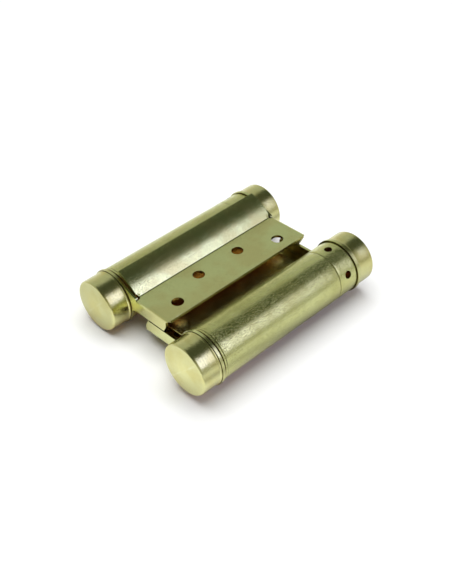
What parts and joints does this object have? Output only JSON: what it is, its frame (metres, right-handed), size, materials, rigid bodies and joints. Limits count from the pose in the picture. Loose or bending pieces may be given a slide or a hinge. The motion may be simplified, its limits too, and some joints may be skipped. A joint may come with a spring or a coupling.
{
  "type": "double action spring hinge",
  "caption": "Folded double-action spring hinge: sprung barrels joined by a centre flange, a leaf on each side with screw holes, tension collars and domed end caps.",
  "frame": {"origin": "midway between the two barrel axes, at mid length", "axes": "+Y along the barrels towards the tension collars, +X from the jamb leaf's barrel to the door leaf's barrel, +Z out of the jamb leaf's outer face"},
  "size_m": [0.0754, 0.0948, 0.028],
  "materials": {
    "barrel_brass": "polished brass plate, slightly rippled",
    "leaf_brass": "bright brass plate on pressed sheet",
    "cap_brass": "satin brass plate, turned look",
    "collar_brass": "fine turned brass plate",
    "spring_steel": "oiled spring wire",
    "plain_steel": "plain turned steel"
  },
  "bodies": {
    "centre": {"centre_flange": "barrel_brass", "anchor_plug_left": "collar_brass", "anchor_plug_right": "collar_brass", "torsion_spring_left": "spring_steel", "torsion_spring_right": "spring_steel"},
    "jamb_leaf": {"leaf_left": "leaf_brass", "spindle_left": "plain_steel", "thrust_washer_left": "plain_steel", "cap_retainer_far_left": "plain_steel", "cap_retainer_near_left": "plain_steel", "end_cap_far_left": "cap_brass", "end_cap_near_left": "cap_brass"},
    "door_leaf": {"leaf_right": "leaf_brass", "spindle_right": "plain_steel", "thrust_washer_right": "plain_steel", "cap_retainer_far_right": "plain_steel", "cap_retainer_near_right": "plain_steel", "end_cap_far_right": "cap_brass", "end_cap_near_right": "cap_brass"},
    "collar_left": {"tension_collar_left": "collar_brass"},
    "collar_right": {"tension_collar_right": "collar_brass"}
  },
  "joints": [
    {"name": "jamb_leaf_swing", "type": "hinge", "parent": "centre", "child": "jamb_leaf", "pos_m": [-0.0261, 0, 0], "axis": [0, -1, 0], "range_deg": [0, 180], "stiffness_Nm_per_rad": 0.12, "springref_deg": -28.65},
    {"name": "door_leaf_swing", "type": "hinge", "parent": "centre", "child": "door_leaf", "pos_m": [0.0261, 0, 0], "axis": [0, -1, 0], "range_deg": [0, 180], "stiffness_Nm_per_rad": 0.12, "springref_deg": -28.65},
    {"name": "collar_left_wind", "type": "hinge", "parent": "jamb_leaf", "child": "collar_left", "pos_m": [-0.0261, 0, 0], "axis": [0, -1, 0], "range_deg": [0, 288]},
    {"name": "collar_right_wind", "type": "hinge", "parent": "door_leaf", "child": "collar_right", "pos_m": [0.0261, 0, 0], "axis": [0, -1, 0], "range_deg": [0, 288]}
  ]
}
